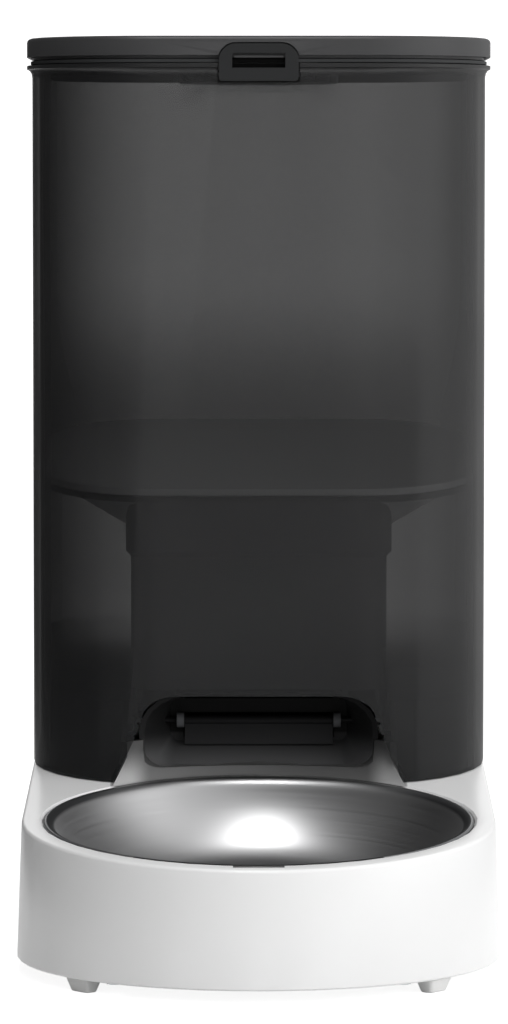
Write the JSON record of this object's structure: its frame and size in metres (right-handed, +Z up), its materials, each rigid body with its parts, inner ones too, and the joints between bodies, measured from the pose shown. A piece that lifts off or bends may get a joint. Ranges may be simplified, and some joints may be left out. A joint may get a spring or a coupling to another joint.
{
  "type": "automatic pet feeder",
  "caption": "Automatic pet feeder: a smoky see-through food tower with a clipped lid and an arched outlet, on a white base that holds a steel bowl.",
  "frame": {"origin": "on the floor, under the middle of the feeder", "axes": "+Z up, +Y from the bowl towards the tower, +X to the right when facing the feeder"},
  "size_m": [0.1666, 0.2956, 0.3213],
  "materials": {
    "smoky_plastic": "clear smoke-tinted polycarbonate, polished",
    "dark_plastic": "charcoal moulded plastic, satin",
    "dark_clip": "dark grey moulded plastic, satin",
    "black_seal": "black silicone",
    "steel_hardware": "drawn steel",
    "white_plastic": "white moulded plastic, semi-gloss",
    "acetal": "natural acetal",
    "brass": "turned brass",
    "bowl_steel": "pressed stainless steel, brushed round",
    "cell_jacket": "plain cell jacket without a label",
    "foot_rubber": "pale grey rubber",
    "contact_metal": "nickel-plated spring strip",
    "circuit_board": "green solder resist",
    "light_pipe": "clear light pipe"
  },
  "bodies": {
    "base": {"base_shell": "white_plastic", "tower_shell": "smoky_plastic", "latch_pin": "steel_hardware", "lid_hinge_pin": "steel_hardware", "hopper_funnel": "smoky_plastic", "hopper_seal": "black_seal", "mechanism_cover": "dark_plastic", "dispenser_barrel": "dark_plastic", "dispenser_side": "dark_plastic", "gear_plate": "dark_plastic", "bush_left": "acetal", "bush_right": "acetal", "idler_pin": "steel_hardware", "gear_motor": "steel_hardware", "outlet_scoop": "dark_plastic", "chassis": "dark_plastic", "bottom_plate": "white_plastic", "battery_1": "cell_jacket", "battery_2": "cell_jacket", "battery_3": "cell_jacket", "battery_4": "cell_jacket", "contact_front": "contact_metal", "contact_rear": "contact_metal", "contact_bridge": "contact_metal", "base_screw_1": "steel_hardware", "base_screw_2": "steel_hardware", "base_screw_3": "steel_hardware", "base_screw_4": "steel_hardware", "foot_1": "foot_rubber", "foot_2": "foot_rubber", "foot_3": "foot_rubber", "foot_4": "foot_rubber", "circuit_board": "circuit_board", "power_socket": "dark_clip", "status_light": "light_pipe"},
    "lid": {"lid": "smoky_plastic", "lid_seal": "black_seal", "desiccant_box": "white_plastic"},
    "cap": {"desiccant_cap": "white_plastic"},
    "latch": {"lid_latch": "dark_clip"},
    "rotor": {"feed_rotor": "acetal", "rotor_shaft": "steel_hardware", "rotor_gear": "acetal"},
    "idler": {"idler_gear": "acetal"},
    "pinion": {"motor_pinion": "brass"},
    "flap": {"outlet_flap": "dark_clip"},
    "bowl": {"bowl": "bowl_steel"},
    "door": {"battery_door": "white_plastic"},
    "button": {"feed_button": "white_plastic"}
  },
  "joints": [
    {"name": "lid_hinge", "type": "hinge", "parent": "base", "child": "lid", "pos_m": [0, 0.1444, 0.3103], "axis": [-1, 0, 0], "range_deg": [0, 100]},
    {"name": "latch_hinge", "type": "hinge", "parent": "base", "child": "latch", "pos_m": [0, -0.0062, 0.3077], "axis": [1, 0, 0], "range_deg": [0, 18], "stiffness_Nm_per_rad": 0.02},
    {"name": "cap_twist", "type": "hinge", "parent": "lid", "child": "cap", "pos_m": [0, 0.0665, 0.305], "axis": [0, 0, 1], "range_deg": [0, 30]},
    {"name": "rotor_spin", "type": "hinge", "parent": "base", "child": "rotor", "pos_m": [0, 0.04248, 0.11531], "axis": [1, 0, 0], "continuous": true},
    {"name": "idler_spin", "type": "hinge", "parent": "base", "child": "idler", "pos_m": [0, 0.07772, 0.10249], "axis": [1, 0, 0], "continuous": true},
    {"name": "pinion_spin", "type": "hinge", "parent": "base", "child": "pinion", "pos_m": [0, 0.10089, 0.1087], "axis": [1, 0, 0], "continuous": true},
    {"name": "flap_hinge", "type": "hinge", "parent": "base", "child": "flap", "pos_m": [0, 0.0195, 0.0773], "axis": [-1, 0, 0], "range_deg": [0, 55]},
    {"name": "bowl_lift", "type": "slide", "parent": "base", "child": "bowl", "axis": [0, -0.0896, 0.996], "range_m": [0, 0.012]},
    {"name": "door_slide", "type": "slide", "parent": "base", "child": "door", "axis": [-1, 0, 0], "range_m": [0, 0.006]},
    {"name": "button_press", "type": "slide", "parent": "base", "child": "button", "axis": [0, -1, 0], "range_m": [0, 0.0012], "stiffness_N_per_m": 300}
  ],
  "couplings": [
    {"joint": "idler_spin", "follows": "rotor_spin", "ratio": -1.5},
    {"joint": "pinion_spin", "follows": "rotor_spin", "ratio": 2.5}
  ]
}
